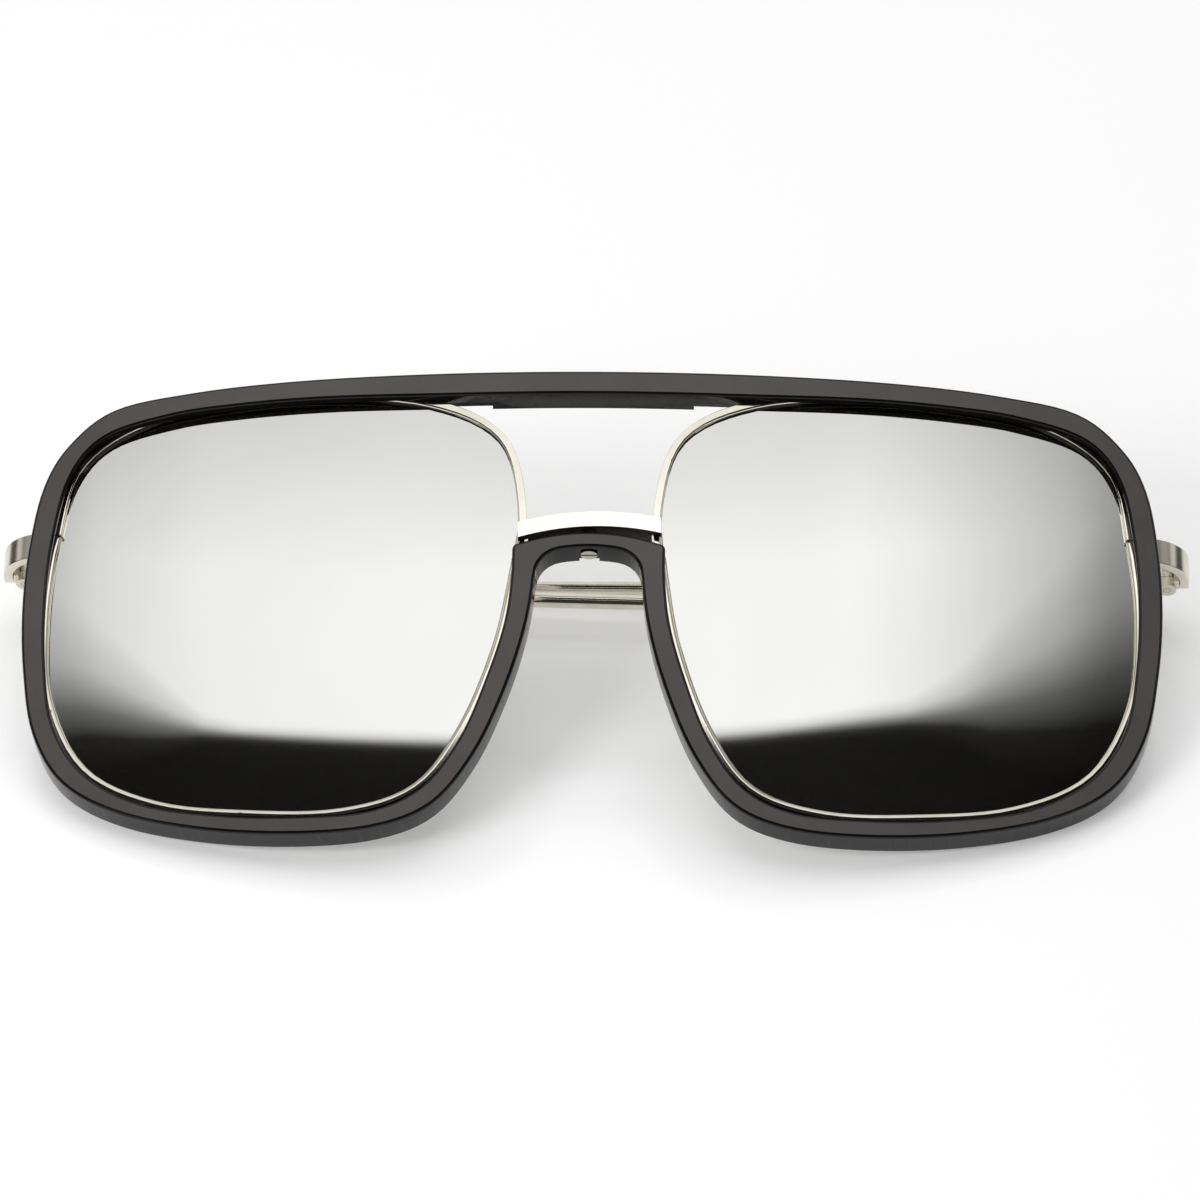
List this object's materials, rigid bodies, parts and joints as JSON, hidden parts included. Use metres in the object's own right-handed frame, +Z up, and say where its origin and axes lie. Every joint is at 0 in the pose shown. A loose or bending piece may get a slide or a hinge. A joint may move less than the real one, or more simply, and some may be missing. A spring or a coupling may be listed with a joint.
{
  "type": "square sunglasses",
  "caption": "Square sunglasses with a black front, mirrored lenses, slim metal rims and bridge, and thin metal temples folded behind the front.",
  "frame": {"origin": "centre of the footprint, on the surface that the folded glasses lie on", "axes": "+X from the glasses' left-hand side in the picture to its right-hand side, across the front; +Y from the lower edge of the front towards its top bar along the floor; +Z up"},
  "size_m": [0.1594, 0.0638, 0.0347],
  "materials": {
    "black_front": "polished black acetate",
    "pale_metal": "satin champagne silver",
    "hinge_metal": "satin",
    "screw_steel": "turned",
    "mirrored_lens": "silver mirror coating that fades to olive brown near the lower edge",
    "black_tip": "polished black"
  },
  "bodies": {
    "front": {"front_frame": "black_front", "left_rim": "pale_metal", "right_rim": "pale_metal", "left_lens": "mirrored_lens", "right_lens": "mirrored_lens", "bridge": "pale_metal", "bridge_post": "hinge_metal", "bridge_screw": "screw_steel", "left_upper_block": "hinge_metal", "right_upper_block": "hinge_metal", "left_lower_block": "hinge_metal", "right_lower_block": "hinge_metal", "left_closing_screw": "screw_steel", "right_closing_screw": "screw_steel", "left_end_piece": "pale_metal", "right_end_piece": "pale_metal", "left_front_hinge": "hinge_metal", "right_front_hinge": "hinge_metal", "left_hinge_screw": "screw_steel", "right_hinge_screw": "screw_steel"},
    "left_arm": {"left_temple_hinge": "hinge_metal", "left_temple": "pale_metal", "left_temple_tip": "black_tip"},
    "right_arm": {"right_temple_hinge": "hinge_metal", "right_temple": "pale_metal", "right_temple_tip": "black_tip"}
  },
  "joints": [
    {"name": "right_temple_fold", "type": "hinge", "parent": "front", "child": "right_arm", "pos_m": [0.07685, 0.01988, 0.00745], "axis": [0.0314, 0.956, 0.2916], "range_deg": [-87.7, 0]},
    {"name": "left_temple_fold", "type": "hinge", "parent": "front", "child": "left_arm", "pos_m": [-0.07685, 0.01988, 0.00745], "axis": [0.0314, 0.956, 0.2916], "range_deg": [0, 90.5]}
  ],
  "couplings": [
    {"joint": "left_temple_fold", "follows": "right_temple_fold", "ratio": -1.0319}
  ]
}
